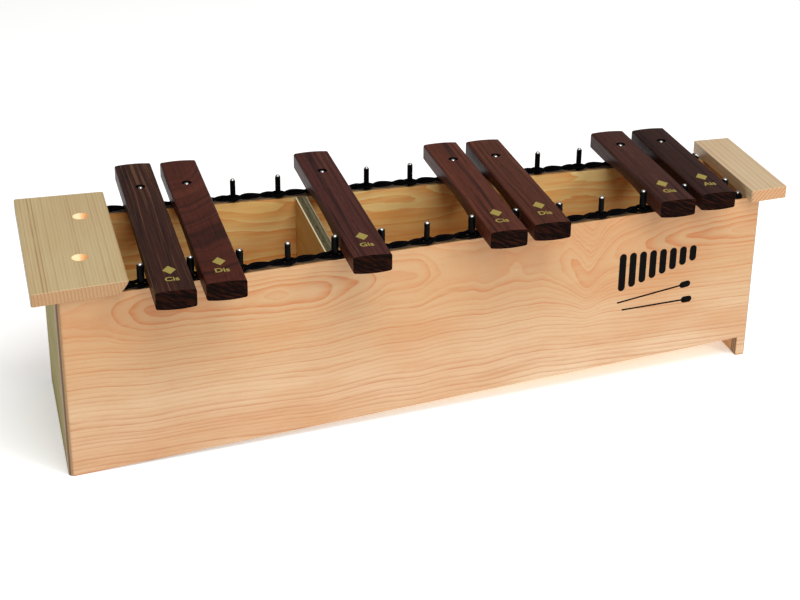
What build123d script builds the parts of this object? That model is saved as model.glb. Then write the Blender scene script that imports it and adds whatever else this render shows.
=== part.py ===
"""Box-resonator xylophone: a tapered wooden resonator box, pinned rails and loose bars.

Frame: millimetres, +Z up, +X along the box from the long bars to the short ones,
+Y towards the rear wall. The origin lies on the table, under the middle of the
instrument's bounding box.
"""
import os
from math import asin, atan, cos, pi, radians, sin, tan

from build123d import *

# ---- driving dimensions -------------------------------------------------------
PITCH = 47.0  # spacing of the bar positions along the box
POSITIONS = 13  # bar positions, each with a rear pin
BOX_LENGTH = 733.0
BOX_LEFT = -368.0  # x of the outer face of the left end wall
FIRST_X = BOX_LEFT + 104.0  # x of the first bar position
WALL_TOP = 185.0  # height of the box walls above the table
WALL_T = 12.0  # front and rear walls, partitions
END_T = 11.0  # end walls, and the foot that continues the right one
FOOT_H = 22.0  # how far the underside has risen where it meets the foot
FLOOR_T = 8.0
REAR_RAIL_Y = 92.5  # line of the rear pins
FRONT_RAIL_Y = -87.5  # line of the front pins, at the first bar position
TAPER = 0.111  # the front wall comes this much nearer per mm to the right
CORNER_R = 6.0  # rounding of the front wall's upright outer edges

BAR_W = 37.5
BAR_SIDE_H = 16.7  # straight height of a bar's side
BAR_CROWN_TOP = 1.1  # bulge of the top across the bar
BAR_CROWN_UNDER = 1.5
BAR_EDGE_R = 2.3
BAR_LONGEST = 316.0
BAR_STEP = 10.4  # each position's bar is this much shorter
BAR_REAR_STEP = 2.2  # part of that step taken off at the rear end
BAR_BOTTOM = 190.4  # lowest line of the crowned underside, at the ends
ARCH_PAST_RAIL = 12.0  # the tuning arch starts this far outside each rail
ARCH_AT_RAIL = 2.0  # and has lifted the underside this much over the cords
BAR_HOLE_R = 5.0

PIN_R = 1.5
PIN_HEAD_R = 2.2
PIN_HEAD_H = 2.2
PIN_TOP = 208.6
REAR_PIN_RISE = 1.0  # the rear pins stand this much higher
PIN_DEPTH = 20.0  # depth of each pin in its wall
TUBE_R = 2.8  # black tube on every pin that stands free or inside a bar
SLEEVE_R = 3.5  # thicker sleeve on the front pins beside a bar
BORE_CLEARANCE = 0.05

CORD_R = 1.7  # one strand of the doubled support cord
CORD_GAP = 0.12  # air between crossing strands
CORD_LEFT = -322.0  # the two ends, clamped under the left end board
CORD_RIGHT = 345.0  # outside of the loop at the right
NAIL_X = CORD_RIGHT - 5.1  # nail inside each loop

BOARD_T = 12.5
LEFT_BOARD = (-389.3, -299.5)  # from x to x
RIGHT_BOARD = (348.2, 389.3)
LEFT_LIPS = (4.8, 20.6)  # overhang past the front wall and past the rear wall
RIGHT_LIPS = (11.9, 15.6)
LEFT_BEVEL = 9.0  # undercut of the left board's inner edge
RECESS_R = 7.8  # dished recesses in the left board
RECESS_DEPTH = 5.0
RECESSES = ((-328.0, 59.0), (-338.0, -40.0))

BARS = {
    "bar_c_sharp_low": 0,
    "bar_d_sharp_low": 1,
    "bar_g_sharp_low": 4,
    "bar_c_sharp_high": 7,
    "bar_d_sharp_high": 8,
    "bar_g_sharp_high": 11,
    "bar_a_sharp_high": 12,
}

# ---- places worked out from them ----------------------------------------------
BOX_RIGHT = BOX_LEFT + BOX_LENGTH
SLANT = atan(TAPER)
HALF_FRONT = WALL_T / 2 / cos(SLANT)  # half the slanted wall, measured along Y
REAR_IN = REAR_RAIL_Y - WALL_T / 2
REAR_OUT = REAR_RAIL_Y + WALL_T / 2
BOARD_TOP = WALL_TOP + BOARD_T
BAR_SIDE_LOW = BAR_BOTTOM + BAR_CROWN_UNDER
BAR_SIDE_HIGH = BAR_SIDE_LOW + BAR_SIDE_H

os.makedirs("parts", exist_ok=True)


def rail_y(x):
    """Line of the front pins."""
    return FRONT_RAIL_Y + TAPER * (x - FIRST_X)


def front_in(x):
    return rail_y(x) + HALF_FRONT


def front_out(x):
    return rail_y(x) - HALF_FRONT


def underside(x):
    """Height of the walls' bottom edges: down at the left, raised at the right."""
    return FOOT_H * (x - BOX_LEFT) / (BOX_RIGHT - END_T - BOX_LEFT)


def position_x(index):
    return FIRST_X + index * PITCH


rear_pin_spots = [(position_x(i), REAR_RAIL_Y) for i in range(POSITIONS)]
front_pin_spots = [
    (position_x(i - 0.5), rail_y(position_x(i - 0.5))) for i in range(POSITIONS + 1)
]
beside_a_bar = sorted({i + side for i in BARS.values() for side in (0, 1)})
sleeve_spots = [front_pin_spots[i] for i in beside_a_bar]
free_front_spots = [
    spot for i, spot in enumerate(front_pin_spots) if i not in beside_a_bar
]


def finish(builder, name):
    """Label a finished piece and write it."""
    builder.part.label = name
    export_step(builder.part, f"parts/{name}.step")


# ---- front wall: slanted in plan, raised underside, foot tab at the right -------
with BuildPart() as front_wall:
    with BuildSketch(Plane.XY):
        with BuildLine():
            Polyline(
                (BOX_LEFT, front_out(BOX_LEFT)),
                (BOX_RIGHT, front_out(BOX_RIGHT)),
                (BOX_RIGHT, front_in(BOX_RIGHT)),
                (BOX_LEFT, front_in(BOX_LEFT)),
                close=True,
            )
        make_face()
    extrude(amount=WALL_TOP)
    uprights = front_wall.edges().filter_by(Axis.Z).group_by(Axis.X)
    fillet(uprights[0].sort_by(Axis.Y)[0], radius=CORNER_R)
    uprights = front_wall.edges().filter_by(Axis.Z).group_by(Axis.X)
    fillet(uprights[-1].sort_by(Axis.Y)[0], radius=CORNER_R / 2)
    with BuildSketch(Plane.XZ.offset(-REAR_OUT)):
        with BuildLine():
            Polyline(
                (BOX_LEFT, 0),
                (BOX_RIGHT - END_T, 0),
                (BOX_RIGHT - END_T, FOOT_H),
                close=True,
            )
        make_face()
    extrude(amount=2 * REAR_OUT + 60, mode=Mode.SUBTRACT)
    with BuildSketch(Plane.XY.offset(WALL_TOP)):
        with Locations(*front_pin_spots):
            Circle(PIN_R + BORE_CLEARANCE)
    extrude(amount=-PIN_DEPTH, mode=Mode.SUBTRACT)
    with BuildSketch(Plane.XY.offset(WALL_TOP)):
        with Locations((NAIL_X, rail_y(NAIL_X))):
            Circle(1.0 + BORE_CLEARANCE)
    extrude(amount=-15.0, mode=Mode.SUBTRACT)
finish(front_wall, "front_wall")

# ---- rear wall: square to the end walls, same raised underside and foot tab ------
with BuildPart() as rear_wall:
    with BuildSketch(Plane.XZ.offset(-REAR_OUT)):
        with BuildLine():
            Polyline(
                (BOX_LEFT, 0),
                (BOX_RIGHT - END_T, FOOT_H),
                (BOX_RIGHT - END_T, 0),
                (BOX_RIGHT, 0),
                (BOX_RIGHT, WALL_TOP),
                (BOX_LEFT, WALL_TOP),
                close=True,
            )
        make_face()
    extrude(amount=WALL_T)
    corners = rear_wall.edges().filter_by(Axis.Z).group_by(Axis.Y)[-1]
    fillet(corners.sort_by(Axis.X)[0], radius=CORNER_R / 2)
    corners = rear_wall.edges().filter_by(Axis.Z).group_by(Axis.X)[-1]
    fillet(corners.sort_by(Axis.Y)[-1], radius=CORNER_R / 2)
    with BuildSketch(Plane.XY.offset(WALL_TOP)):
        with Locations(*rear_pin_spots):
            Circle(PIN_R + BORE_CLEARANCE)
    extrude(amount=-PIN_DEPTH, mode=Mode.SUBTRACT)
    with BuildSketch(Plane.XY.offset(WALL_TOP)):
        with Locations((NAIL_X, REAR_RAIL_Y)):
            Circle(1.0 + BORE_CLEARANCE)
    extrude(amount=-15.0, mode=Mode.SUBTRACT)
finish(rear_wall, "rear_wall")

# ---- end walls between the long ones; the right one runs down as the foot --------
with BuildPart() as left_end_wall:
    with BuildSketch(Plane.XY):
        with BuildLine():
            Polyline(
                (BOX_LEFT, front_in(BOX_LEFT)),
                (BOX_LEFT + END_T, front_in(BOX_LEFT + END_T)),
                (BOX_LEFT + END_T, REAR_IN),
                (BOX_LEFT, REAR_IN),
                close=True,
            )
        make_face()
    extrude(amount=WALL_TOP)
finish(left_end_wall, "left_end_wall")

with BuildPart() as right_end_wall:
    with BuildSketch(Plane.XY):
        with BuildLine():
            Polyline(
                (BOX_RIGHT - END_T, front_in(BOX_RIGHT - END_T)),
                (BOX_RIGHT, front_in(BOX_RIGHT)),
                (BOX_RIGHT, REAR_IN),
                (BOX_RIGHT - END_T, REAR_IN),
                close=True,
            )
        make_face()
    extrude(amount=WALL_TOP)
finish(right_end_wall, "right_end_wall")

# ---- bottom board: lies along the rising underside, inside the four walls --------
FLOOR_LEFT = BOX_LEFT + END_T
FLOOR_RIGHT = BOX_RIGHT - END_T
with BuildPart() as bottom_board:
    with BuildSketch(Plane.XY):
        with BuildLine():
            Polyline(
                (FLOOR_LEFT, front_in(FLOOR_LEFT)),
                (FLOOR_RIGHT, front_in(FLOOR_RIGHT)),
                (FLOOR_RIGHT, REAR_IN),
                (FLOOR_LEFT, REAR_IN),
                close=True,
            )
        make_face()
    extrude(amount=WALL_TOP)
    with BuildSketch(Plane.XZ.offset(-REAR_OUT)):
        with BuildLine():
            Polyline(
                (FLOOR_LEFT, underside(FLOOR_LEFT) + 1.5),
                (FLOOR_RIGHT, underside(FLOOR_RIGHT) + 1.5),
                (FLOOR_RIGHT, underside(FLOOR_RIGHT) + 1.5 + FLOOR_T),
                (FLOOR_LEFT, underside(FLOOR_LEFT) + 1.5 + FLOOR_T),
                close=True,
            )
        make_face()
    extrude(amount=2 * REAR_OUT + 60, mode=Mode.INTERSECT)
finish(bottom_board, "bottom_board")


def floor_top(x):
    return underside(x) + 1.5 + FLOOR_T


# ---- partitions: split the box into three resonance chambers ---------------------
partition_left_faces = {"left_partition": -106.2, "right_partition": 133.0}
for name, x0 in partition_left_faces.items():
    x1 = x0 + WALL_T
    with BuildPart() as partition:
        with BuildSketch(Plane.XY):
            with BuildLine():
                Polyline(
                    (x0, front_in(x0)),
                    (x1, front_in(x1)),
                    (x1, REAR_IN),
                    (x0, REAR_IN),
                    close=True,
                )
            make_face()
        extrude(amount=WALL_TOP)
        with BuildSketch(Plane.XZ.offset(-REAR_OUT)):
            with BuildLine():
                Polyline(
                    (x0, -1),
                    (x1, -1),
                    (x1, floor_top(x1)),
                    (x0, floor_top(x0)),
                    close=True,
                )
            make_face()
        extrude(amount=2 * REAR_OUT + 60, mode=Mode.SUBTRACT)
    finish(partition, name)

# ---- left end board: undercut inner edge, dished screw recesses, cord grooves ----
SCREW_R = 2.0
GROOVE_W = 4 * CORD_R + 2.0
GROOVE_H = 2 * CORD_R + 2.6  # room for the strands to rise into their first crossing


with BuildPart() as left_end_board:
    x0, x1 = LEFT_BOARD
    board_rear = REAR_OUT + LEFT_LIPS[1]
    with BuildSketch(Plane.XY.offset(WALL_TOP)):
        with BuildLine():
            Polyline(
                (x0, front_out(x0) - LEFT_LIPS[0]),
                (x1, front_out(x1) - LEFT_LIPS[0]),
                (x1, board_rear),
                (x0, board_rear),
                close=True,
            )
        make_face()
    extrude(amount=BOARD_T)
    fillet(left_end_board.edges().filter_by(Axis.Z), radius=2.5)
    fillet(left_end_board.faces().sort_by(Axis.Z)[-1].edges(), radius=1.2)
    with BuildSketch(Plane.XZ.offset(-board_rear - 1)):
        with BuildLine():
            Polyline(
                (x1 - LEFT_BEVEL, WALL_TOP - 0.5),
                (x1 + 1, WALL_TOP - 0.5),
                (x1 + 1, BOARD_TOP - 1.2),
                (x1, BOARD_TOP - 1.2),
                close=True,
            )
        make_face()
    extrude(amount=2 * board_rear + 60, mode=Mode.SUBTRACT)
    with BuildSketch(Plane.XY.offset(WALL_TOP)):
        with BuildLine():
            Polyline(
                (CORD_LEFT - 3, rail_y(CORD_LEFT - 3) - GROOVE_W / 2),
                (x1 + 1, rail_y(x1 + 1) - GROOVE_W / 2),
                (x1 + 1, rail_y(x1 + 1) + GROOVE_W / 2),
                (CORD_LEFT - 3, rail_y(CORD_LEFT - 3) + GROOVE_W / 2),
                close=True,
            )
        make_face()
        with Locations(((CORD_LEFT - 3 + x1 + 1) / 2, REAR_RAIL_Y)):
            Rectangle(x1 + 4 - CORD_LEFT, GROOVE_W)
    extrude(amount=GROOVE_H, mode=Mode.SUBTRACT)
    with Locations(*[(x, y, BOARD_TOP) for x, y in RECESSES]):
        Cone(
            SCREW_R + 1,
            RECESS_R,
            RECESS_DEPTH,
            align=(Align.CENTER, Align.CENTER, Align.MAX),
            mode=Mode.SUBTRACT,
        )
        Cylinder(
            SCREW_R + 1,
            BOARD_T,
            align=(Align.CENTER, Align.CENTER, Align.MAX),
            mode=Mode.SUBTRACT,
        )
finish(left_end_board, "left_end_board")

# ---- right end board: narrower, square edges -------------------------------------
with BuildPart() as right_end_board:
    x0, x1 = RIGHT_BOARD
    board_rear = REAR_OUT + RIGHT_LIPS[1]
    with BuildSketch(Plane.XY.offset(WALL_TOP)):
        with BuildLine():
            Polyline(
                (x0, front_out(x0) - RIGHT_LIPS[0]),
                (x1, front_out(x1) - RIGHT_LIPS[0]),
                (x1, board_rear),
                (x0, board_rear),
                close=True,
            )
        make_face()
    extrude(amount=BOARD_T)
    fillet(right_end_board.edges().filter_by(Axis.Z), radius=2.0)
    fillet(right_end_board.faces().sort_by(Axis.Z)[-1].edges(), radius=1.0)
finish(right_end_board, "right_end_board")

# ---- cleat under the left board, with the screws and plugs that hold it ----------
CLEAT_H = 20.0
CLEAT_RIGHT = RECESSES[0][0] + 12.0
with BuildPart() as left_board_cleat:
    with BuildSketch(Plane.XY.offset(WALL_TOP - CLEAT_H)):
        with BuildLine():
            Polyline(
                (FLOOR_LEFT, front_in(FLOOR_LEFT)),
                (CLEAT_RIGHT, front_in(CLEAT_RIGHT)),
                (CLEAT_RIGHT, REAR_IN),
                (FLOOR_LEFT, REAR_IN),
                close=True,
            )
        make_face()
    extrude(amount=CLEAT_H)
    with BuildSketch(Plane.XY.offset(WALL_TOP)):
        with Locations(*RECESSES):
            Circle(SCREW_R)
    extrude(amount=-15.0, mode=Mode.SUBTRACT)
finish(left_board_cleat, "left_board_cleat")

PLUG_TOP = BOARD_TOP - RECESS_DEPTH
PLUG_T = 2.0
with BuildPart() as board_screw:
    with BuildSketch(Plane.XZ):
        with BuildLine():
            Polyline(
                (0, WALL_TOP - 15),
                (SCREW_R, WALL_TOP - 12),
                (SCREW_R, PLUG_TOP - PLUG_T - 1.8),
                (SCREW_R + 0.9, PLUG_TOP - PLUG_T - 0.9),
                (SCREW_R + 0.9, PLUG_TOP - PLUG_T),
                (0, PLUG_TOP - PLUG_T),
                close=True,
            )
        make_face()
    revolve(axis=Axis.Z)
with BuildPart() as left_board_screws:
    with Locations(*RECESSES):
        add(board_screw.part)
finish(left_board_screws, "left_board_screws")

with BuildPart() as left_board_plugs:
    with BuildSketch(Plane.XY.offset(PLUG_TOP - PLUG_T)):
        with Locations(*RECESSES):
            Circle(SCREW_R + 1)
    extrude(amount=PLUG_T)
finish(left_board_plugs, "left_board_plugs")

# ---- pins: a nail with a domed, polished head ------------------------------------
DOME_H = 1.0
DOME_R = (PIN_HEAD_R**2 + DOME_H**2) / (2 * DOME_H)
DOME_HALF = asin(PIN_HEAD_R / DOME_R) / 2
with BuildPart() as pin:
    with BuildSketch(Plane.XZ):
        with BuildLine():
            Polyline(
                (0, PIN_TOP),
                (0, WALL_TOP - PIN_DEPTH),
                (PIN_R, WALL_TOP - PIN_DEPTH + 1.5),
                (PIN_R, PIN_TOP - PIN_HEAD_H),
                (PIN_HEAD_R, PIN_TOP - PIN_HEAD_H),
                (PIN_HEAD_R, PIN_TOP - DOME_H),
            )
            ThreePointArc(
                (PIN_HEAD_R, PIN_TOP - DOME_H),
                (DOME_R * sin(DOME_HALF), PIN_TOP - DOME_R * (1 - cos(DOME_HALF))),
                (0, PIN_TOP),
            )
        make_face()
    revolve(axis=Axis.Z)

with BuildPart() as front_pins:
    with Locations(*front_pin_spots):
        add(pin.part)
finish(front_pins, "front_pins")

with BuildPart() as rear_pins:
    with Locations(*[(x, y, REAR_PIN_RISE) for x, y in rear_pin_spots]):
        add(pin.part)
finish(rear_pins, "rear_pins")

# ---- black tubes on the free pins, thicker sleeves beside the bars ---------------
tube_sets = {
    "front_pin_tubes": (free_front_spots, TUBE_R, 0.0),
    "front_guide_sleeves": (sleeve_spots, SLEEVE_R, 0.0),
    "rear_pin_tubes": (rear_pin_spots, TUBE_R, REAR_PIN_RISE),
}
for name, (spots, radius, rise) in tube_sets.items():
    with BuildPart() as tubes:
        with BuildSketch(Plane.XY.offset(WALL_TOP)):
            with Locations(*spots):
                Circle(radius)
                Circle(PIN_R + BORE_CLEARANCE, mode=Mode.SUBTRACT)
        extrude(amount=PIN_TOP + rise - PIN_HEAD_H - WALL_TOP)
    finish(tubes, name)

# ---- nails that hold the cords' loops at the right --------------------------------
loop_spots = [(NAIL_X, rail_y(NAIL_X)), (NAIL_X, REAR_RAIL_Y)]
with BuildPart() as cord_loop_nails:
    with BuildSketch(Plane.XY.offset(WALL_TOP - 15.0)):
        with Locations(*loop_spots):
            Circle(1.0)
    extrude(amount=15.0 + 5.5)
    with BuildSketch(Plane.XY.offset(WALL_TOP + 5.5)):
        with Locations(*loop_spots):
            Circle(2.0)
    extrude(amount=1.0)
finish(cord_loop_nails, "cord_loop_nails")

# ---- support cords: one doubled cord on each rail, twisted round every pin -------
# Going out, the strand passes in front of one pin and behind the loop's other leg;
# one full turn of twist lies between neighbouring pins, so the two legs cross twice.
QUARTER = PITCH / 4
LOW_Z = WALL_TOP + CORD_R + 0.15
HIGH_Z = LOW_Z + 2 * CORD_R + CORD_GAP
MID_Z = (LOW_Z + HIGH_Z) / 2
LOOP_HALF = 4.6  # half the loop's width at its nail


def leg(pin_xs, reach, side, last_x):
    """Points (x, offset across the rail, z) of one leg, from left to right."""
    first = pin_xs[0]
    points = [(CORD_LEFT, side * 2.1, LOW_Z), (CORD_LEFT + 12, side * 2.2, LOW_Z)]
    step = -round((first - (CORD_LEFT + 22)) / QUARTER)
    x = first + step * QUARTER
    while x <= last_x:
        phase = step % 4
        index = step // 4
        if phase == 0 and 0 <= index < len(pin_xs):
            points.append((x, side * reach[index], MID_Z - 0.6))
        elif phase == 0:
            points.append((x, side * 2.4, MID_Z))
        elif phase == 2:
            points.append((x, -side * 2.4, MID_Z))
        else:
            high = (phase == 1) == (side < 0)
            points.append((x, 0.0, HIGH_Z if high else LOW_Z - 0.1))
        step += 1
        x = first + step * QUARTER
    return points


def corner_radii(points):
    """Largest arc that each corner's two runs leave room for."""
    radii = []
    for before, here, after in zip(points, points[1:], points[2:]):
        a = Vector(*here) - Vector(*before)
        b = Vector(*after) - Vector(*here)
        run = min(a.length, b.length)
        turn = radians(a.get_angle(b))
        radii.append(0.45 * run / tan(turn / 2))
    return radii


def cord_route(pin_xs, reach, last_x, y_of):
    """Out along one leg, round the end nail, and back along the other leg."""
    out = leg(pin_xs, reach, 1, last_x)
    back = leg(pin_xs, reach, -1, last_x)
    side = -1 if out[-2][1] > 0 else 1  # the legs have crossed at the last point
    end_x = CORD_RIGHT - CORD_R
    bend = [
        (NAIL_X, side * LOOP_HALF, LOW_Z),
        (end_x, side * LOOP_HALF * 0.52, LOW_Z),
        (end_x, -side * LOOP_HALF * 0.52, LOW_Z),
        (NAIL_X, -side * LOOP_HALF, LOW_Z),
    ]
    flat = out + bend + back[::-1]
    return [(x, y_of(x) + dy, z) for x, dy, z in flat]


def reaches(spots):
    """How far out a leg's corner lies at each pin, so that its arc clears the tube."""
    return [7.5 if spot in sleeve_spots else 6.5 for spot in spots]


cords = {
    "front_support_cord": cord_route(
        [x for x, y in front_pin_spots], reaches(front_pin_spots),
        position_x(POSITIONS - 0.5) + QUARTER + 1, rail_y,
    ),
    "rear_support_cord": cord_route(
        [x for x, y in rear_pin_spots], reaches(rear_pin_spots),
        position_x(POSITIONS - 1) + 3 * QUARTER + 1, lambda x: REAR_RAIL_Y,
    ),
}
for name, points in cords.items():
    radii = corner_radii(points)
    with BuildPart() as cord:
        with BuildLine() as route:
            FilletPolyline(*points, radius=radii)
        path = route.wires()[0]
        with BuildSketch(Plane(origin=path @ 0, z_dir=path % 0)):
            Circle(CORD_R)
        sweep(path=path)
    print(name, "length", round(path.length, 1), "smallest radius", round(min(radii), 1),
          "volume ratio", round(cord.part.volume / (pi * CORD_R**2 * path.length), 4))
    finish(cord, name)

# ---- bars: crowned section, tuning arch underneath, hole for the rear pin --------
for name, index in BARS.items():
    length = BAR_LONGEST - BAR_STEP * index
    rear_end = BAR_LONGEST / 2 - BAR_REAR_STEP * index
    front_end = rear_end - length
    x = position_x(index)
    arch_front = rail_y(x) - ARCH_PAST_RAIL
    arch_rear = REAR_RAIL_Y + ARCH_PAST_RAIL
    half_arch = (arch_rear - arch_front) / 2
    arch_depth = ARCH_AT_RAIL / (1 - (1 - ARCH_PAST_RAIL / half_arch) ** 2)
    with BuildPart() as bar:
        with BuildSketch(Plane.XZ.offset(-rear_end)):
            with BuildLine():
                low = BAR_SIDE_LOW
                high = BAR_SIDE_HIGH
                left = x - BAR_W / 2
                right = x + BAR_W / 2
                ThreePointArc((left, low), (x, low - BAR_CROWN_UNDER), (right, low))
                Line((right, low), (right, high))
                ThreePointArc((right, high), (x, high + BAR_CROWN_TOP), (left, high))
                Line((left, high), (left, low))
            make_face()
        extrude(amount=length)
        fillet(bar.edges().filter_by(Axis.Y), radius=BAR_EDGE_R)
        ends = bar.faces().sort_by(Axis.Y)
        fillet(ends[0].edges() + ends[-1].edges(), radius=0.8)
        with BuildSketch(Plane.YZ.offset(x - BAR_W)):
            with BuildLine():
                mid = (arch_front + arch_rear) / 2
                ThreePointArc(
                    (arch_front, BAR_BOTTOM),
                    (mid, BAR_BOTTOM + arch_depth),
                    (arch_rear, BAR_BOTTOM),
                )
                Polyline(
                    (arch_rear, BAR_BOTTOM),
                    (arch_rear, BAR_BOTTOM - 5),
                    (arch_front, BAR_BOTTOM - 5),
                    (arch_front, BAR_BOTTOM),
                )
            make_face()
        extrude(amount=2 * BAR_W, mode=Mode.SUBTRACT)
        with Locations((x, REAR_RAIL_Y, BAR_BOTTOM)):
            Cylinder(BAR_HOLE_R, 60, mode=Mode.SUBTRACT)
    finish(bar, name)
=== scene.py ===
"""Looks of a box-resonator xylophone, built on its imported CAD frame."""
import math
import random

import bpy
from mathutils import Matrix, Vector


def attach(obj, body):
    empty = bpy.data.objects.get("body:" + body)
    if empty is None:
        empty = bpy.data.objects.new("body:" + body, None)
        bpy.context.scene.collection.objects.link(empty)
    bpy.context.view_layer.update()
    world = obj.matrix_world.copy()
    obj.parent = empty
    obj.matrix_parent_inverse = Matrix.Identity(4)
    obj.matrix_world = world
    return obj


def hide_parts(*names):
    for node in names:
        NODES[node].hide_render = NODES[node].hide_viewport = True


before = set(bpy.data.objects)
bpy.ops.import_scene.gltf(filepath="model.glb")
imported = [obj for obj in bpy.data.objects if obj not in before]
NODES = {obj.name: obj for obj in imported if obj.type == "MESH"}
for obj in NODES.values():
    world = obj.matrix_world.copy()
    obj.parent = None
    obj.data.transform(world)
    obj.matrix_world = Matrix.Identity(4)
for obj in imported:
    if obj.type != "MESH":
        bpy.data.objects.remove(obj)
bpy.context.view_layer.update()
MM = 0.001

# ---------------------------------------------------------------- sizes shared with the CAD, mm
PITCH, FIRST_X, TAPER, POSITIONS = 47.0, -264.0, 0.111, 13
REAR_RAIL, FRONT_RAIL, WALL_TOP = 92.5, -87.5, 185.0
WALL_LEAN = math.cos(math.atan(TAPER))
BAR_W, BAR_CROWN, BAR_EDGE = 37.5, 1.1, 208.6
BAR_LONGEST, BAR_STEP, BAR_REAR_STEP = 316.0, 10.4, 2.2
FRONT_FACE = 64.24  # the front wall's outer face lies this far in front of the axis at x = 0
LEFT_DIVIDER, RIGHT_DIVIDER = -100.2, 139.0  # x of the dividers' middles
RECESSES = ((-328.0, 59.0), (-338.0, -40.0))  # the screw recesses in the left board
CORD_LEFT, CORD_RIGHT, NAIL_X, LOOP_HALF = -322.0, 345.0, 339.9, 4.6
BARS = {
    "bar_c_sharp_low": (0, "Cis"),
    "bar_d_sharp_low": (1, "Dis"),
    "bar_g_sharp_low": (4, "Gis"),
    "bar_c_sharp_high": (7, "Cis"),
    "bar_d_sharp_high": (8, "Dis"),
    "bar_g_sharp_high": (11, "Gis"),
    "bar_a_sharp_high": (12, "Ais"),
}


def position_x(index):
    return FIRST_X + PITCH * index


def rail_y(x):
    return FRONT_RAIL + TAPER * (x - FIRST_X)


def lin(r, g, b):
    """An sRGB colour, 0 to 255, as the linear RGBA that a socket takes."""
    def f(c):
        c /= 255.0
        return c / 12.92 if c <= 0.04045 else ((c + 0.055) / 1.055) ** 2.4
    return (f(r), f(g), f(b), 1.0)


# ---------------------------------------------------------------- a small language for node trees
class S:
    """An output socket with arithmetic."""

    def __init__(self, tree, socket):
        self.tree, self.socket = tree, socket

    def _m(self, op, *args):
        return self.tree.math(op, self, *args)

    def __add__(self, o):
        return self._m("ADD", o)

    def __sub__(self, o):
        return self._m("SUBTRACT", o)

    def __rsub__(self, o):
        return self.tree.math("SUBTRACT", o, self)

    def __mul__(self, o):
        return self._m("MULTIPLY", o)

    def __truediv__(self, o):
        return self._m("DIVIDE", o)

    def __rtruediv__(self, o):
        return self.tree.math("DIVIDE", o, self)

    def __pow__(self, o):
        return self._m("POWER", o)

    def frac(self):
        return self._m("FRACT")

    def floor(self):
        return self._m("FLOOR")

    def abs(self):
        return self._m("ABSOLUTE")

    def sqrt(self):
        return self._m("SQRT")

    def sin(self):
        return self._m("SINE")

    def step(self, low, high, to_low=0.0, to_high=1.0):
        """Smooth step from to_low, at low, to to_high, at high."""
        return self.tree.node(
            "MapRange", {0: self, 1: low, 2: high, 3: to_low, 4: to_high},
            interpolation_type="SMOOTHSTEP",
        )


class Tree:
    """A material's node tree. x, y and z are in millimetres."""

    def __init__(self, name):
        self.mat = bpy.data.materials.new(name)
        self.mat.use_nodes = True
        self.nt = self.mat.node_tree
        self.nt.nodes.clear()
        coord = self.nt.nodes.new("ShaderNodeTexCoord")
        self.x, self.y, self.z = (c * 1000.0 for c in self.split(coord.outputs["Object"]))
        self.nx, self.ny, self.nz = self.split(coord.outputs["Normal"])
        self.u, self.v, _ = self.split(coord.outputs["UV"])

    def split(self, socket):
        n = self.nt.nodes.new("ShaderNodeSeparateXYZ")
        self.nt.links.new(socket, n.inputs[0])
        return [S(self, out) for out in n.outputs]

    def node(self, kind, inputs, out=0, **props):
        n = self.nt.nodes.new("ShaderNode" + kind)
        for key, value in props.items():
            setattr(n, key, value)
        for key, value in inputs.items():
            if isinstance(value, S):
                self.nt.links.new(value.socket, n.inputs[key])
            else:
                n.inputs[key].default_value = value
        return S(self, n.outputs[out])

    def math(self, op, *args):
        return self.node("Math", dict(enumerate(args)), operation=op)

    def xyz(self, x, y, z):
        return self.node("CombineXYZ", {0: x, 1: y, 2: z})

    def noise(self, x, y, z, detail=2.0, rough=0.5):
        return self.node("TexNoise", {
            "Vector": self.xyz(x, y, z), "Scale": 1.0, "Detail": detail, "Roughness": rough,
        })

    def ramp(self, fac, *stops):
        n = self.nt.nodes.new("ShaderNodeValToRGB")
        self.nt.links.new(fac.socket, n.inputs[0])
        e = n.color_ramp.elements
        while len(e) < len(stops):
            e.new(0.5)
        for slot, (pos, col) in zip(e, stops):
            slot.position, slot.color = pos, col
        return S(self, n.outputs[0])

    def mix(self, fac, a, b, blend="MIX"):
        return self.node(
            "Mix", {0: fac, 6: a, 7: b}, out=2, data_type="RGBA", blend_type=blend,
        )

    def finish(self, color, rough, bump=None, depth=0.1, **shader):
        """Principled shader. bump is a height from 0 to 1 that stands for depth millimetres."""
        inputs = {"Base Color": color, "Roughness": rough}
        if bump is not None:
            inputs["Normal"] = self.node(
                "Bump", {"Strength": 1.0, "Distance": depth * MM, "Height": bump}
            )
        inputs.update({key.replace("_", " "): value for key, value in shader.items()})
        bsdf = self.node("BsdfPrincipled", inputs)
        out = self.nt.nodes.new("ShaderNodeOutputMaterial")
        self.nt.links.new(bsdf.socket, out.inputs["Surface"])
        return self.mat


# ---------------------------------------------------------------- softwood boards and panels
# Each returns the coordinates along the grain, across it and into the board.
def along_x(t):
    return t.x, t.z, t.y


def along_y_upright(t):
    return t.y, t.z, t.x


def along_y_flat(t):
    return t.y, t.x, t.z


def along_x_flat(t):
    return t.x, t.y, t.z


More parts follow.
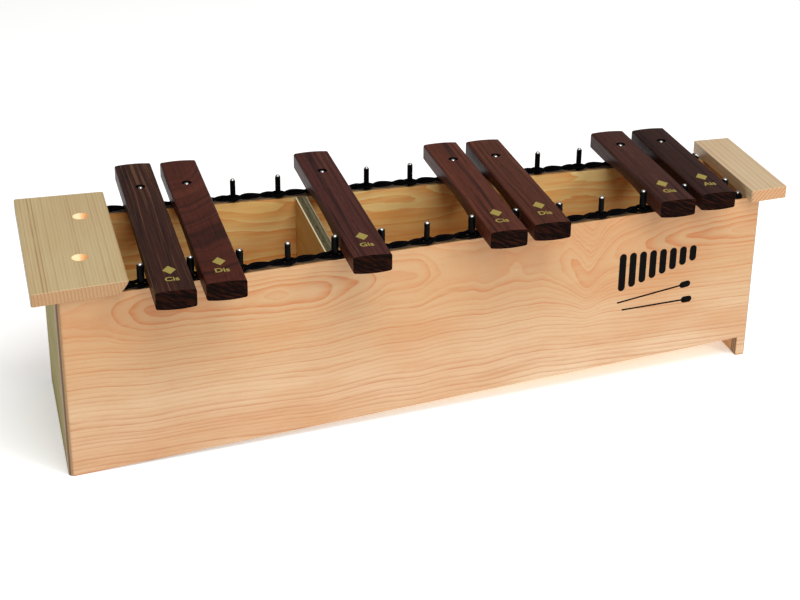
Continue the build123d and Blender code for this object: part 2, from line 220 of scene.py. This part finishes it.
def softwood(name, axes, rings, cols, seed, sharp=3.0, line=0.9, edge=None, rough=0.45,
             accent=None, gloss=0.35, coat=0.08, tint=None):
    """Lacquered softwood.

    axes turns the tree's x, y, z into along, across and deep. rings gives the growth-ring number
    as a field, cols early wood, late wood, a warm tint and dark fibres. sharp, a number or a
    field, narrows the late wood, and line is its strength. edge gives a mask and colour for cut
    edges, accent a mask of extra late wood, tint a mask with other early and late wood. rough is
    the roughness, gloss the specular level and coat the lacquer's weight.
    """
    t = Tree(name)
    along, across, deep = axes(t)
    r = rings(t, along, across, deep)
    r = r + t.noise(r * 0.9, seed, 0.0, 1.0) * 0.9
    saw = r.frac()
    weight = t.noise(r.floor() * 1.7 + 0.3, seed, 2.0, 0.0).step(0.3, 0.7, 0.35, 1.0)
    late = (saw ** (sharp(t) if callable(sharp) else sharp)) * saw.step(1.0, 0.93) * weight
    broken = t.noise(along * 0.02 + seed, across * 0.3, deep * 0.3, 2.0).step(0.25, 0.65, 0.55, 1.0)
    late = late * broken * line
    if accent:
        late = t.math("MAXIMUM", late, accent(t) * broken)
    if tint:
        mask, early_tint, late_tint = tint(t)
        cols = (t.mix(mask, cols[0], early_tint), t.mix(mask, cols[1], late_tint)) + cols[2:]
    fibre = t.noise(along * 0.035 + seed, across * 1.5, deep * 1.5, 3.0, 0.65)
    streak = t.noise(along * 0.006 + seed, across * 0.14, deep * 0.14, 4.0, 0.6)
    warm = t.noise(along * 0.005, across * 0.018 + seed, deep * 0.018, 2.0)
    col = t.mix(warm.step(0.35, 0.7, 0.0, 0.6), cols[0], cols[2])
    col = t.mix(streak.step(0.4, 0.75, 0.0, 0.35), col, cols[2])
    col = t.mix(late, col, cols[1])
    col = t.mix(fibre.step(0.5, 0.8, 0.0, 0.3), col, cols[3])
    if edge:
        mask, colour = edge(t)
        col = t.mix(mask, col, colour)
    return t.finish(col, fibre.step(0.3, 0.8, rough - 0.06, rough + 0.1),
                    fibre * 0.6 + late * 0.4, 0.04, Specular_IOR_Level=gloss,
                    Coat_Weight=coat, Coat_Roughness=0.3)


def plain_rings(spacing, lean, wander=5.0, seed=0.0):
    """Nearly straight rings that lean by the angle lean against the board's face."""
    def rings(t, along, across, deep):
        warp = t.noise(along * 0.004 + seed, across * 0.03, deep * 0.03, 2.0) * wander
        fine = t.noise(along * 0.02 + seed, across * 0.2, deep * 0.2, 1.0) * (spacing * 0.3)
        return (across * math.cos(lean) + deep * math.sin(lean) + warp + fine) / spacing + 100.0
    return rings


def rotary_rings(seed, count=5.0, size=0.0080):
    """The ovals and broad flames of a peeled veneer."""
    def rings(t, along, across, deep):
        hills = t.noise(along * size + seed, across * size * 5.0, deep * 0.01 + seed, 1.5, 0.5)
        jag = t.noise(along * 0.05 + seed, across * 0.4, deep * 0.1, 2.0) * 0.3
        return hills * count + across * 0.045 + jag + 20.0
    return rings


def front_rings(t, x, z, _deep):
    """The front panel's figure: flames round a heart line near the top, and a knot's dip."""
    dip = (x - 170.0) * (1.0 / 15.0)
    dip = 1.0 / (dip * dip + 1.0)
    ripple = t.noise(x * 0.07, z * 0.03, 3.0, 2.0) - 0.5
    near = ((x - 150.0) * (1.0 / 60.0)).abs().step(1.0, 0.2) * z.step(115.0, 165.0)
    z = z + dip * z.step(55.0, 128.0, 0.0, 34.0) + ripple * near * 26.0
    sway = t.noise(x * 0.006, 4.4, 0.0, 1.0) * 26.0 - 13.0
    a = z - 158.0 + x * 0.022 - sway
    d = 22.0 - ((x + 200.0) * (1.0 / 89.0) + math.pi / 2).sin() * 15.0
    d = d + t.noise(x * 0.013, 9.1, 0.0, 2.0) * 20.0 - 10.0
    warp = t.noise(x * 0.004, z * 0.02, 5.0, 1.0) * 3.0
    fine = t.noise(x * 0.012, z * 0.09, 6.0, 1.0) * 0.42
    return (a * a + d * d).sqrt() * (1.0 / 4.5) + warp + fine


def front_sharp(t):
    """Late wood is a little broader in the flames than lower down."""
    return t.z.step(95.0, 180.0, 2.4, 2.1)


def front_tint(t):
    """The panel's lower part is paler and pinker; the paleness is partly painted light that offsets
    the shade low on the panel.
    """
    return t.z.step(130.0, 10.0, 0.0, 0.85), lin(223, 197, 163), lin(170, 96, 54)


def rear_tint(t):
    """The rear wall's outer face is paler and less orange than its inside, whose bright orange is
    partly the wood's colour and partly painted light brightening the wall inside the box.
    """
    return t.y.step(94.0, 97.0), lin(222, 184, 134), lin(196, 128, 74)


def front_layer(t):
    """Distance behind the front panel's outer face."""
    return (t.y - t.x * TAPER + FRONT_FACE) * WALL_LEAN


def ply_edge(mask, layer, thickness, cols):
    """Mask and colour of a plywood edge, from the distance through its layers."""
    def edge(t):
        n = layer(t) / thickness
        odd = (n.floor() * 0.5).frac().step(0.2, 0.3)
        grain = t.noise(t.x * 0.8, t.y * 0.8, t.z * 0.8, 3.0)
        col = t.mix(odd, cols[0], cols[1])
        col = t.mix(grain.step(0.4, 0.75, 0.0, 0.4), col, cols[2])
        glue = (n.frac() - 0.5).abs().step(0.42, 0.5, 0.0, 0.6)
        return mask(t), t.mix(glue, col, cols[2])
    return edge


def faces_up(t):
    """Mask of surfaces that face up."""
    return t.nz.step(0.6, 0.85)


def off_front(t):
    """Mask of the front wall's edges: what faces neither out nor in."""
    return (t.ny * WALL_LEAN - t.nx * TAPER * WALL_LEAN).abs().step(0.985, 0.86)


def off_x(t):
    """Mask of an end wall's edges."""
    return t.nx.abs().step(0.9, 0.6)


def divider_edge(centre):
    """A divider's upper edge: pale face veneers over a grey-green core."""
    def edge(t):
        off = (t.x - centre).abs()
        grain = t.noise(t.x * 0.9, t.y * 0.12, 0.0, 3.0)
        core = t.mix(grain.step(0.35, 0.7), lin(112, 102, 70), lin(58, 50, 32))
        middle = (t.x - centre - 2.4).abs().step(1.5, 1.0)
        pale = t.mix(grain.step(0.3, 0.7), lin(158, 150, 118), lin(120, 112, 80))
        core = t.mix(middle, core, pale)
        return faces_up(t), t.mix(off.step(4.5, 4.7), core, lin(232, 214, 174))
    return edge


# early wood, late wood, a warm tint, dark fibres
FRONT_COLS = (lin(202, 162, 117), lin(190, 103, 34), lin(197, 141, 91), lin(180, 124, 81))
# REAR_COLS show on the rear wall's inner face: partly the wood's colour, partly painted light
# inside the box
REAR_COLS = (lin(250, 226, 154), lin(232, 140, 57), lin(250, 192, 104), lin(220, 148, 74))
INSIDE_COLS = (lin(255, 232, 166), lin(206, 120, 42), lin(248, 184, 96), lin(208, 142, 70))
BOARD_COLS = (lin(198, 178, 134), lin(162, 128, 84), lin(190, 162, 116), lin(170, 138, 95))
PINK_COLS = (lin(204, 182, 146), lin(178, 132, 96), lin(196, 164, 126), lin(172, 136, 102))
DIVIDER_COLS = (lin(214, 172, 98), lin(172, 118, 50), lin(200, 150, 80), lin(172, 124, 60))
# the left end wall: its grain is the wood's own, its dull olive tone is painted shade, copied from
# this side's look in shade
SHADED_SIDE_COLS = (lin(184, 174, 132), lin(140, 128, 88), lin(168, 156, 112), lin(140, 126, 88))
# two kinds of ply and the glue between them
EDGE_COLS = (lin(170, 132, 88), lin(108, 76, 46), lin(70, 48, 28))


def board_end(cols, lean, spacing):
    """End grain of a board: the rings' cut ends as leaning stripes."""
    def edge(t):
        warp = t.noise(t.x * 0.05, t.z * 0.05, 1.0, 2.0) * 2.0
        saw = ((t.x * math.cos(lean) + t.z * math.sin(lean) + warp) / spacing + 200.0).frac()
        grain = t.noise(t.x * 0.9, t.y * 0.1, t.z * 0.9, 3.0)
        col = t.mix(saw ** 1.6 * saw.step(1.0, 0.9), cols[0], cols[1])
        return t.ny.abs().step(0.55, 0.85), t.mix(grain.step(0.45, 0.75, 0.0, 0.3), col, cols[2])
    return edge


LEFT_END = (lin(186, 148, 105), lin(162, 116, 76), lin(158, 112, 74))
RIGHT_END = (lin(208, 164, 118), lin(172, 114, 70), lin(160, 108, 70))
PLUG_COLS = (lin(250, 216, 164), lin(226, 172, 112), lin(240, 196, 136), lin(214, 164, 108))

PLY = 1.9  # thickness of one ply; 80 and 400 only set where the layers start
wall_edge = ply_edge(off_front, front_layer, PLY, EDGE_COLS)
rear_edge = ply_edge(lambda t: t.ny.abs().step(0.9, 0.6), lambda t: t.y - 80.0, PLY, EDGE_COLS)
end_edge = ply_edge(off_x, lambda t: t.x + 400.0, PLY, EDGE_COLS)


def left_board_cut(t):
    """The left board's end grain, and the wood inside its two screw recesses with painted light: a
    highlight on the left half, shade on the right half.
    """
    mask, col = board_end(LEFT_END, 0.1, 3.3)(t)
    for x, y in RECESSES:
        a, b = t.x - x, t.y - y
        hole = (a * a + b * b).sqrt().step(8.1, 7.7)
        # painted light: each recess is bright cream on its left half, where light would fall, and
        # shaded orange on its right half
        side = a.step(-6.0, 7.0)
        col = t.mix(hole, col, t.mix(side, lin(255, 226, 180), lin(244, 178, 112)))
        mask = t.math("MAXIMUM", mask, hole)
    return mask, col


def left_board_lines(t):
    """Two resinous rings near the left board's outer edge."""
    one = (t.x + 376.8).abs().step(1.2, 0.4)
    two = (t.x + 373.2).abs().step(0.9, 0.3)
    return (one + two) * 0.95


mats = {
    "front_wall": softwood("front_panel", along_x, front_rings, FRONT_COLS, 3.3, front_sharp,
                           0.9, wall_edge, 0.42, tint=front_tint),
    "rear_wall": softwood("rear_panel", along_x, rotary_rings(4.2, 4.0, 0.0075), REAR_COLS, 1.7,
                          0.75, 1.0, rear_edge, tint=rear_tint),
    # the left end wall in colours with painted shade
    "left_end_wall": softwood("left_end_panel", along_y_upright, plain_rings(7.0, 0.3, 9.0, 2.0),
                              SHADED_SIDE_COLS, 5.2, 2.0, 0.9, end_edge, 0.7, None, 0.0, 0.0),
    "right_end_wall": softwood("right_end_panel", along_y_upright, plain_rings(7.0, 0.3, 9.0, 7.0),
                               FRONT_COLS, 6.1, 2.0, 0.9, end_edge),
    "bottom_board": softwood("bottom_panel", along_x_flat, rotary_rings(8.1, 6.0), INSIDE_COLS, 2.4,
                             1.3),
    "left_partition": softwood("left_divider", along_y_upright, plain_rings(6.0, 0.5, 12.0, 4.0),
                               DIVIDER_COLS, 7.7, 2.0, 0.8, divider_edge(LEFT_DIVIDER)),
    "right_partition": softwood("right_divider", along_y_upright, plain_rings(6.0, 0.5, 12.0, 9.0),
                                DIVIDER_COLS, 8.3, 2.0, 0.8, divider_edge(RIGHT_DIVIDER)),
    "left_board_cleat": softwood("cleat", along_y_flat, plain_rings(4.0, 0.6), BOARD_COLS, 2.9),
    "left_end_board": softwood("left_board", along_y_flat, plain_rings(3.3, 0.12, 3.0, 1.0),
                               BOARD_COLS, 1.1, 1.6, 0.9, left_board_cut,
                               accent=left_board_lines),
    "right_end_board": softwood("right_board", along_y_flat, plain_rings(4.6, 0.75, 5.0, 3.0),
                                PINK_COLS, 4.6, 1.6, 0.9, board_end(RIGHT_END, -0.75, 3.6)),
    "left_board_plugs": softwood("plug", along_y_flat, plain_rings(2.2, 0.2), PLUG_COLS, 3.8),
}


# ---------------------------------------------------------------- rosewood bars
ROSE = {  # dark, mid and light tints, strength of the light streaks and of the dark lines
    0: ((22, 10, 7), (56, 28, 20), (118, 78, 50), 0.75, 0.75),
    1: ((26, 8, 5), (74, 31, 20), (96, 46, 28), 0.30, 0.50),
    4: ((29, 11, 10), (74, 36, 30), (110, 64, 48), 0.45, 0.70),
    7: ((34, 13, 10), (86, 42, 29), (120, 66, 43), 0.45, 0.50),
    8: ((30, 13, 9), (82, 42, 29), (116, 68, 45), 0.45, 0.60),
    11: ((26, 12, 10), (70, 38, 30), (100, 60, 46), 0.40, 0.60),
    12: ((20, 9, 8), (54, 29, 23), (82, 50, 38), 0.35, 0.60),
}


def straight_figure(t, x, along, seed):
    """Layers that run almost straight along the bar."""
    sway = t.noise(along * 0.005 + seed, x * 0.01, 0.0, 1.0) * 8.0
    return x * 0.34 + t.z * 0.22 + sway * 0.30 + seed


def arched_figure(t, x, along, seed):
    """Layers that close in arches across the bar."""
    a = x + 16.0
    b = (along - 230.0) * 0.55
    sway = t.noise(along * 0.01 + seed, x * 0.03, 0.0, 1.0) * 12.0
    return ((a * a * 3.0 + b * b).sqrt() + sway) * 0.075 + seed


def rosewood(name, index):
    """Dark, streaky rosewood: pores along the bar, layered end grain, and painted shade at the pin
    hole.
    """
    t = Tree(name)
    rng = random.Random(40 + index)
    seed = rng.uniform(0, 50)
    dark, mid, light, streaks, lines = ROSE[index]
    dark, mid, light = lin(*dark), lin(*mid), lin(*light)
    x, along = t.x - position_x(index), t.y
    s = (arched_figure if index == 1 else straight_figure)(t, x, along, seed)
    broad = t.noise(s * 0.45, along * 0.003, 0.3, 2.0, 0.6)
    col = t.ramp(broad, (0.30, dark), (0.46, mid), (0.60, mid), (0.80, light))
    thin = t.noise(s * 3.1, along * 0.003, 1.7, 3.0, 0.7)
    col = t.mix(thin.step(0.5, 0.66, 0.0, lines), col, dark)
    pale = t.noise(s * 1.7 + 9.0, along * 0.003, 4.1, 3.0, 0.65)
    col = t.mix(pale.step(0.54, 0.68, 0.0, streaks), col, light)
    fibre = t.noise(x * 1.4, along * 0.02, t.z * 1.4 + seed, 4.0, 0.65)
    col = t.mix(fibre.step(0.45, 0.75, 0.0, 0.45), col, dark)
    pore = t.noise(x * 2.4, along * 0.06, t.z * 2.4 + seed, 2.0, 0.5).step(0.58, 0.68)
    col = t.mix(pore * 0.7, col, lin(10, 5, 4))
    end = t.ny.abs().step(0.55, 0.85)
    layers = t.noise((x * 0.5 + t.z) * 0.42 + seed, (x - t.z) * 0.04, 0.0, 3.0, 0.7)
    specks = t.noise(x * 1.1, t.z * 1.1, seed, 2.0)
    cut = t.mix(layers.step(0.45, 0.66), lin(13, 5, 3), lin(50, 21, 12))
    col = t.mix(end, col, t.mix(specks.step(0.5, 0.7, 0.0, 0.6), cut, lin(9, 4, 2)))
    # painted shade: a near-black disc about 5 mm in radius where the rear pin passes through the
    # bar
    dy = along - REAR_RAIL
    hole = (x * x + dy * dy).sqrt().step(5.2, 4.95)
    col = t.mix(hole, col, lin(8, 5, 4))
    return t.finish(col, fibre.step(0.3, 0.8, 0.34, 0.5) + end * 0.5,
                    1.0 - pore * 0.7 - fibre * 0.3, 0.05, Specular_IOR_Level=0.06)


for name, (index, _) in BARS.items():
    mats[name] = rosewood("rosewood_" + name[4:], index)


# ---------------------------------------------------------------- metal, tube, cord and print
def steel():
    t = Tree("nail_steel")
    n = t.noise(t.x * 3.0, t.y * 3.0, t.z * 0.8, 3.0)
    col = t.mix(n, lin(214, 214, 212), lin(180, 180, 178))
    return t.finish(col, n.step(0.3, 0.8, 0.22, 0.38), n, 0.01, Metallic=1.0)


def black_tube():
    t = Tree("black_tube")
    n = t.noise(t.x * 2.0, t.y * 2.0, t.z * 0.7, 3.0)
    col = t.mix(n.step(0.4, 0.8), lin(3, 3, 4), lin(9, 9, 10))
    return t.finish(col, n.step(0.3, 0.8, 0.42, 0.62), n, 0.02, Specular_IOR_Level=0.06)


def black_cord():
    """A braided cord. v counts turns of its girth along it, u goes once round it."""
    t = Tree("black_cord")
    a = ((t.u * 4.0 + t.v * 1.1) * math.tau).sin()
    b = ((t.u * 4.0 - t.v * 1.1) * math.tau).sin()
    weave = t.math("MAXIMUM", a, b) * 0.5 + 0.5
    fuzz = t.noise(t.u * 40.0, t.v * 12.0, 0.0, 3.0)
    col = t.mix(weave, lin(1, 1, 2), lin(6, 6, 8))
    return t.finish(col, fuzz.step(0.2, 0.8, 0.6, 0.85), weave * 0.8 + fuzz * 0.2, 0.35,
                    Specular_IOR_Level=0.02)


def gold_print():
    t = Tree("gold_print")
    n = t.noise(t.x * 1.5, t.y * 0.6, t.z, 3.0)
    worn = t.noise(t.x * 5.0, t.y * 1.1, t.z, 2.0)
    col = t.mix(n, lin(162, 146, 70), lin(140, 120, 54))
    col = t.mix(worn.step(0.6, 0.75, 0.0, 0.4), col, lin(100, 76, 38))
    return t.finish(col, 0.5, worn, 0.02, Specular_IOR_Level=0.4)


def dark_print():
    t = Tree("dark_print")
    n = t.noise(t.x * 1.2, t.z * 1.2, 0.0, 3.0)
    col = t.mix(n.step(0.5, 0.8), lin(5, 4, 4), lin(13, 11, 10))
    return t.finish(col, n.step(0.3, 0.8, 0.5, 0.65), n, 0.02, Specular_IOR_Level=0.05)


nail, tube = steel(), black_tube()
for name in ("front_pins", "rear_pins", "cord_loop_nails", "left_board_screws"):
    mats[name] = nail
for name in ("front_pin_tubes", "rear_pin_tubes", "front_guide_sleeves"):
    mats[name] = tube


def dress(obj, material):
    obj.data.materials.clear()
    obj.data.materials.append(material)


for name, material in mats.items():
    for slot in NODES[name].material_slots:
        slot.material = material


def link(name, mesh, material):
    obj = bpy.data.objects.new(name, mesh)
    bpy.context.scene.collection.objects.link(obj)
    dress(obj, material)
    return obj


# ---------------------------------------------------------------- support cords
CORD_WIDE, CORD_FLAT = 2.3, 1.55  # half width and half height of a strand, pressed flat
CORD_STEP = 0.9 * MM  # spacing of a strand's rings
QUARTER = PITCH / 4  # a strand winds round its partner once per pin space
LOW_Z = WALL_TOP + CORD_FLAT + 0.1
HIGH_Z = LOW_Z + 2.7 * CORD_FLAT  # the curve rounds the corners, so strands just touch
MID_Z = (LOW_Z + HIGH_Z) / 2
TOUCH = 3.1  # offset at which two strands lie side by side
END_SIDE = 2.1  # offset of a strand in the groove under the left board
END_RUN, TWIST_START = 12.0, 22.0  # its straight part there, and where the winding starts
PIN_SPREAD = 0.54  # offset of the points beside a pin, per mm from it
SAG_BESIDE, SAG_AT = 0.3, 0.6  # a strand dips a little round a pin
LOOP_CORNER = 0.52  # width of the loop's far end, as a share of LOOP_HALF


def leg(pin_xs, reach, side, last_x):
    """Points (x, offset across the rail, z) of one leg, from left to right.

    reach gives, for each pin, the distance of the points beside it and the offset at it.
    """
    first = pin_xs[0]
    points = [(CORD_LEFT, side * END_SIDE, LOW_Z), (CORD_LEFT + END_RUN, side * END_SIDE, LOW_Z)]
    step = -round((first - (CORD_LEFT + TWIST_START)) / QUARTER)
    x = first + step * QUARTER
    while x <= last_x:
        phase, index = step % 4, step // 4
        if phase == 0:
            run, swell = reach[index]
            points.append((x - run, side * run * PIN_SPREAD, MID_Z - SAG_BESIDE))
            points.append((x, side * swell, MID_Z - SAG_AT))
            points.append((x + run, side * run * PIN_SPREAD, MID_Z - SAG_BESIDE))
        elif phase == 2:
            points.append((x, -side * TOUCH, MID_Z))
        else:
            high = (phase == 1) == (side < 0)
            points.append((x, 0.0, HIGH_Z if high else LOW_Z))
        step += 1
        x = first + step * QUARTER
    return points


def cord_route(pin_xs, reach, last_x, y_of):
    """Out along one leg, round the end nail, and back along the other leg, in metres."""
    out = leg(pin_xs, reach, 1, last_x)
    back = leg(pin_xs, reach, -1, last_x)
    side = -1 if out[-2][1] > 0 else 1
    end_x = CORD_RIGHT - CORD_WIDE
    bend = [
        (NAIL_X, side * LOOP_HALF, LOW_Z),
        (end_x, side * LOOP_HALF * LOOP_CORNER, LOW_Z),
        (end_x, -side * LOOP_HALF * LOOP_CORNER, LOW_Z),
        (NAIL_X, -side * LOOP_HALF, LOW_Z),
    ]
    flat = out + bend + back[::-1]
    return [(x * MM, (y_of(x) + dy) * MM, z * MM) for x, dy, z in flat]


def centre_line(points):
    """A NURBS curve on the route, as a polyline with a point every CORD_STEP."""
    data = bpy.data.curves.new("route", "CURVE")
    data.dimensions = "3D"
    data.resolution_u = 10
    spline = data.splines.new("NURBS")
    spline.points.add(len(points) - 1)
    for p, co in zip(spline.points, points):
        p.co = (*co, 1.0)
    spline.order_u = 3
    spline.use_endpoint_u = True
    holder = bpy.data.objects.new("route", data)
    mesh = bpy.data.meshes.new_from_object(holder)
    line = [v.co.copy() for v in mesh.vertices]
    bpy.data.objects.remove(holder)
    bpy.data.meshes.remove(mesh)
    bpy.data.curves.remove(data)
    out, left = [line[0]], 0.0
    for a, b in zip(line, line[1:]):
        run = (b - a).length
        while left + run >= CORD_STEP:
            a = a.lerp(b, (CORD_STEP - left) / run)
            run, left = (b - a).length, 0.0
            out.append(a.copy())
        left += run
    return out


def strand_mesh(name, line, wide, flat, around=16):
    """A flattened strand on a polyline, with u once round it and v counting its girth along it."""
    verts, faces, uvs = [], [], []
    for i, p in enumerate(line):
        tangent = (line[min(i + 1, len(line) - 1)] - line[max(i - 1, 0)]).normalized()
        side = tangent.cross(Vector((0, 0, 1))).normalized()
        other = tangent.cross(side)
        for k in range(around):
            angle = math.tau * k / around
            verts.append(p + side * (math.cos(angle) * wide) + other * (math.sin(angle) * flat))
    girth = math.pi * (wide + flat)
    for i in range(len(line) - 1):
        v0, v1 = i * CORD_STEP / girth, (i + 1) * CORD_STEP / girth
        here, ahead = i * around, (i + 1) * around
        for k in range(around):
            k1 = (k + 1) % around
            faces.append((here + k, here + k1, ahead + k1, ahead + k))
            u0, u1 = k / around, (k + 1) / around
            uvs += [(u0, v0), (u1, v0), (u1, v1), (u0, v1)]
    for start, turn in ((0, -1), ((len(line) - 1) * around, 1)):
        faces.append(tuple(start + k for k in range(around))[::turn])
        uvs += [(0.0, 0.0)] * around
    mesh = bpy.data.meshes.new(name)
    mesh.from_pydata(verts, [], faces)
    layer = mesh.uv_layers.new(name="UVMap")
    for loop, uv in zip(layer.data, uvs):
        loop.uv = uv
    mesh.shade_smooth()
    return mesh


cord_mat = black_cord()


def visual_cord(name, pin_xs, reach, last_x, y_of):
    """The cord that replaces the CAD cord of the same name."""
    line = centre_line(cord_route(pin_xs, reach, last_x, y_of))
    obj = link(name + "_braided", strand_mesh(name, line, CORD_WIDE * MM, CORD_FLAT * MM), cord_mat)
    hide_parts(name)
    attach(obj, "resonator_box")


SLEEVE_REACH, FRONT_REACH, REAR_REACH = (6.0, 7.9), (5.2, 7.0), (5.0, 6.7)
beside = {i + side for i, _ in BARS.values() for side in (0, 1)}  # front pins that have a sleeve
visual_cord(
    "front_support_cord", [position_x(i - 0.5) for i in range(POSITIONS + 1)],
    [SLEEVE_REACH if i in beside else FRONT_REACH for i in range(POSITIONS + 1)],
    position_x(POSITIONS - 0.5) + QUARTER + 1, rail_y,
)
visual_cord(
    "rear_support_cord", [position_x(i) for i in range(POSITIONS)], [REAR_REACH] * POSITIONS,
    position_x(POSITIONS - 1) + 3 * QUARTER + 1, lambda _x: REAR_RAIL,
)

# ---------------------------------------------------------------- gold marks on the bars
gold = gold_print()
PRINT_OUT, PRINT_IN = 0.08, -0.06  # a print's two faces, from the surface that carries it
NARROW = 0.88  # the letters are a little condensed
NOTE_HEIGHT, NOTE_AT = 8.7, 24.5  # AT is the middle's distance from the bar's front end
MARK_WIDTH, MARK_LENGTH, MARK_AT = 12.5, 18.0, 44.0


def printed(name, surface, outlines, material, body):
    """A thin closed slab on a surface. surface(u, v, lift) gives a point in millimetres."""
    verts, faces = [], []
    for points, polys in outlines:
        base, n = len(verts), len(points)
        for lift in (PRINT_OUT, PRINT_IN):
            verts += [Vector(surface(u, v, lift)) * MM for u, v in points]
        used = {}
        for poly in polys:
            faces.append([base + i for i in poly])
            faces.append([base + n + i for i in reversed(poly)])
            for a, b in zip(poly, tuple(poly[1:]) + tuple(poly[:1])):
                used[frozenset((a, b))] = None if frozenset((a, b)) in used else (a, b)
        for edge in used.values():
            if edge:
                a, b = edge
                faces.append([base + b, base + a, base + n + a, base + n + b])
    mesh = bpy.data.meshes.new(name)
    mesh.from_pydata(verts, [], faces)
    obj = link(name, mesh, material)
    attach(obj, body)


def bar_surface(index):
    """u across the bar, v from its front end, on its crowned top."""
    front = BAR_LONGEST / 2 - BAR_REAR_STEP * index - (BAR_LONGEST - BAR_STEP * index)

    def surface(u, v, lift):
        drop = BAR_CROWN * (u / (BAR_W / 2)) ** 2
        return position_x(index) + u, front + v, BAR_EDGE + BAR_CROWN - drop + lift
    return surface


def text_shape(word, height):
    """Points and faces of a word, centred on its own origin, in millimetres."""
    data = bpy.data.curves.new("word", "FONT")
    data.body = word
    data.size = 10.0
    data.resolution_u = 4
    data.offset = 0.22  # thickens the letters
    holder = bpy.data.objects.new("word", data)
    mesh = bpy.data.meshes.new_from_object(holder)
    xs = [v.co.x for v in mesh.vertices]
    ys = [v.co.y for v in mesh.vertices]
    k = height / (max(ys) - min(ys))
    mid = Vector(((max(xs) + min(xs)) / 2, (max(ys) + min(ys)) / 2))
    points = [((v.co.x - mid.x) * k * NARROW, (v.co.y - mid.y) * k) for v in mesh.vertices]
    faces = [tuple(p.vertices) for p in mesh.polygons]
    bpy.data.objects.remove(holder)
    bpy.data.meshes.remove(mesh)
    bpy.data.curves.remove(data)
    return points, faces


def diamond(width, height):
    """A plain lozenge."""
    w, h = width / 2, height / 2
    return [(0, -h), (w, 0), (0, h), (-w, 0)], [(0, 1, 2, 3)]


def moved(shape, dv):
    """The shape, shifted along the bar."""
    points, polys = shape
    return [(u, v + dv) for u, v in points], polys


for name, (index, note) in BARS.items():
    marks = [
        moved(text_shape(note, NOTE_HEIGHT), NOTE_AT),
        moved(diamond(MARK_WIDTH, MARK_LENGTH), MARK_AT),
    ]
    printed(name + "_print", bar_surface(index), marks, gold, name + "_body")


# ---------------------------------------------------------------- printed motif on the front
def wall_surface(s, z, lift):
    """s is a point's x on the front wall's face, z its height."""
    return s + lift * TAPER, s * TAPER - FRONT_FACE - lift, z


def capsule(a, b, radius, steps=12):
    """Outline of a round-ended stroke from a to b."""
    a, b = Vector(a), Vector(b)
    lean = math.atan2(b.y - a.y, b.x - a.x)
    points = []
    for end, turn in ((b, -math.pi / 2), (a, math.pi / 2)):
        for i in range(steps + 1):
            angle = lean + turn + math.pi * i / steps
            points.append((end.x + radius * math.cos(angle), end.y + radius * math.sin(angle)))
    return points


STROKES, STROKE_X, STROKE_GAP = 8, 209.0, 11.6
STROKE_HALF, HALF_STEP = 21.0, 1.75  # the first stroke's half length, and how it shrinks
STROKE_Z, Z_STEP = 122.0, 1.4  # the first stroke's middle, and how it climbs
STROKE_R, STICK_R, HEAD_R = 3.9, 0.9, 3.6
MALLETS = (  # tail, neck and tip of each
    ((206.0, 88.0), (281.0, 96.5), (286.5, 97.1)),
    ((212.0, 79.0), (284.0, 79.0), (289.5, 79.0)),
)
shapes = []
for i in range(STROKES):
    x = STROKE_X + STROKE_GAP * i
    half = STROKE_HALF - HALF_STEP * i
    middle = STROKE_Z + Z_STEP * i
    low, high = middle - half + STROKE_R, middle + half - STROKE_R
    shapes.append(capsule((x, low), (x, high), STROKE_R))
for tail, neck, tip in MALLETS:
    shapes.append(capsule(tail, neck, STICK_R))
    shapes.append(capsule(neck, tip, HEAD_R))
printed("front_motif", wall_surface, [(o, [tuple(range(len(o)))]) for o in shapes],
        dark_print(), "resonator_box")

# ---------------------------------------------------------------- camera
AZ, EL, ROLL = math.radians(14.868), math.radians(25.754), math.radians(0.494)
CAMERA_AT = Vector((-0.43603, -1.56708, 0.88126))
ahead = Vector((math.sin(AZ) * math.cos(EL), math.cos(AZ) * math.cos(EL), -math.sin(EL)))
level = ahead.cross(Vector((0, 0, 1))).normalized()
above = level.cross(ahead)
right = level * math.cos(ROLL) + above * math.sin(ROLL)
up = above * math.cos(ROLL) - level * math.sin(ROLL)
cam_data = bpy.data.cameras.new("camera")
cam_data.sensor_width = 36.0
cam_data.lens = 79.17
cam_data.shift_x, cam_data.shift_y = 0.0045, -0.0013
cam = bpy.data.objects.new("camera", cam_data)
bpy.context.scene.collection.objects.link(cam)
pose = Matrix((right, up, -ahead)).transposed().to_4x4()
pose.translation = CAMERA_AT
cam.matrix_world = pose
bpy.context.scene.camera = cam

# ---------------------------------------------------------------- light and floor
scene = bpy.context.scene
world = bpy.data.worlds.new("world")
scene.world = world
world.use_nodes = True
background = world.node_tree.nodes["Background"]
background.inputs["Color"].default_value = (1.0, 1.0, 1.0, 1.0)
background.inputs["Strength"].default_value = 0.3
scene.view_settings.view_transform = "Standard"


def area(name, at, to, size, power):
    """A white, round area light."""
    data = bpy.data.lights.new(name, "AREA")
    data.shape, data.size, data.energy = "DISK", size, power
    obj = bpy.data.objects.new(name, data)
    scene.collection.objects.link(obj)
    at, to = Vector(at), Vector(to)
    obj.location = at
    obj.rotation_euler = (to - at).to_track_quat("-Z", "Y").to_euler()


area("key", at=(2.85, -3.15, 2.7), to=(0.05, 0.0, 0.12), size=1.8, power=71.0)
area("top", at=(0.2, -0.9, 2.5), to=(0.0, 0.0, 0.1), size=2.0, power=50.0)

bpy.ops.mesh.primitive_plane_add(size=14.0, location=(0, 0, 0))
floor = bpy.context.object
floor.name = "floor"
t = Tree("floor_paper")
dress(floor, t.finish(lin(248, 248, 247), 0.85, Emission_Color=(1.0, 1.0, 1.0, 1.0),
                      Emission_Strength=0.38))
